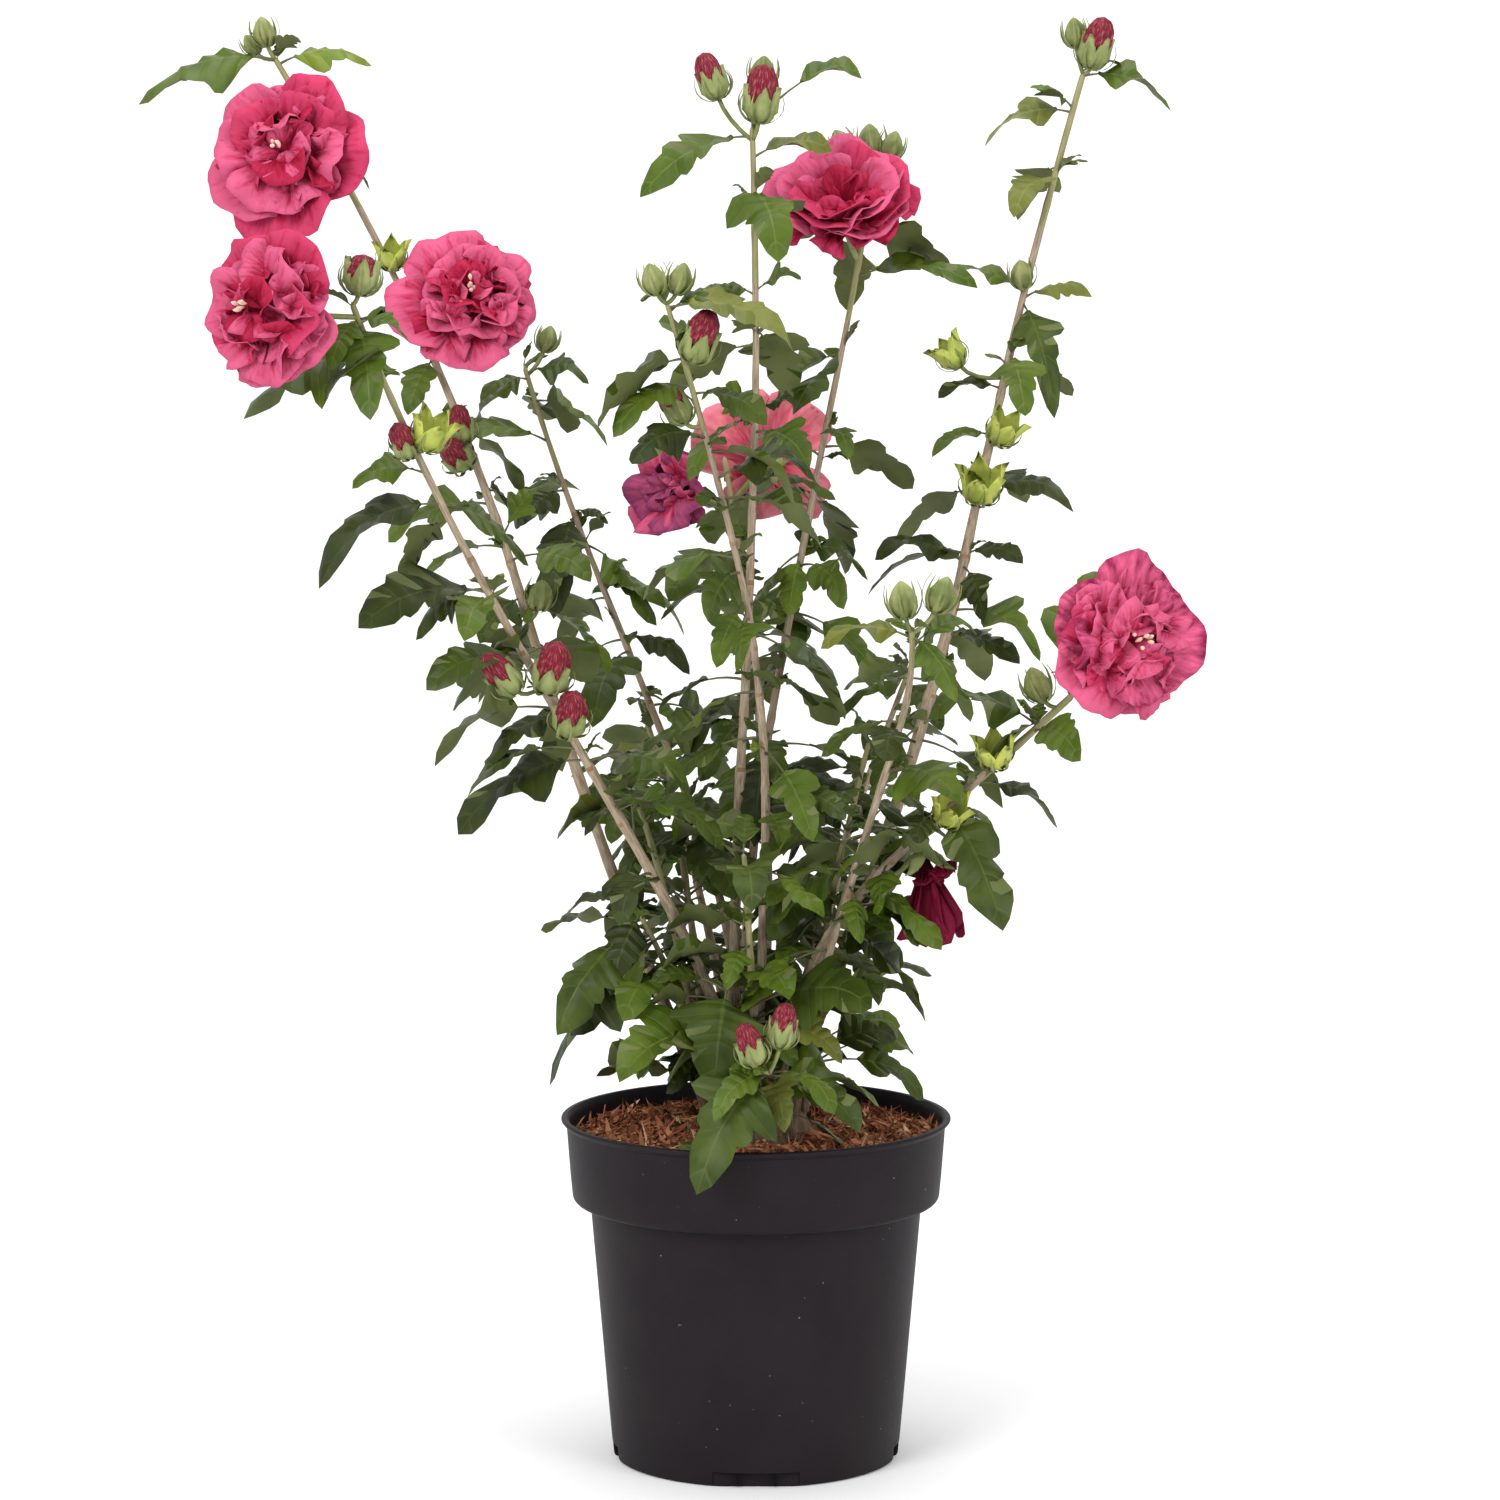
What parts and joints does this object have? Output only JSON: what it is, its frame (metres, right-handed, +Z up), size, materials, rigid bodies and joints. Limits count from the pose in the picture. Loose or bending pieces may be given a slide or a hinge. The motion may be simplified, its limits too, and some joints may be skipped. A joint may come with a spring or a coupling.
{
  "type": "hibiscus shrub",
  "caption": "Upright flowering shrub with slim woody canes, lobed leaves, buds and double blooms, growing in a plain round nursery pot.",
  "frame": {"origin": "centre of the pot's flat underside, on the surface it stands on", "axes": "+Z up; +X to the right and -Y towards the viewer of the plant's front"},
  "size_m": [0.5184, 0.3334, 0.7031],
  "materials": {
    "pot_plastic": "satin black, slightly warm, with fine dust specks",
    "bark_chips": "dry red-brown bark chips and fibres",
    "bark": "tan to grey-brown bark with lengthwise streaks",
    "foliage": "semi-gloss dark green leaves, lighter below",
    "petals": "soft crimson and rose-pink petals, matt to satin"
  },
  "bodies": {
    "root": {"pot": "pot_plastic", "growing_medium": "bark_chips", "stool": "bark", "cane_far_left": "bark", "cane_left": "bark", "cane_mid_left": "bark", "cane_centre": "bark", "cane_front_slim": "bark", "cane_mid_right": "bark", "cane_right": "bark", "cane_low_right": "bark", "cane_right_slim": "bark", "cane_rear": "bark", "cane_rear_left": "bark", "cane_rear_right": "bark", "foliage_far_left": "foliage", "foliage_left": "foliage", "foliage_mid_left": "foliage", "foliage_centre": "foliage", "foliage_front_slim": "foliage", "foliage_mid_right": "foliage", "foliage_right": "foliage", "foliage_low_right": "foliage", "foliage_right_slim": "foliage", "foliage_rear": "foliage", "foliage_rear_left": "foliage", "foliage_rear_right": "foliage", "shoot_low_front": "foliage", "shoot_foot_front": "foliage", "shoot_low_left": "foliage", "shoot_low_rear": "foliage", "shoot_inner_left": "foliage", "shoot_inner_front": "foliage", "shoot_inner_right": "foliage", "shoot_inner_rear_right": "foliage", "shoot_inner_rear_left": "foliage"}
  },
  "joints": []
}
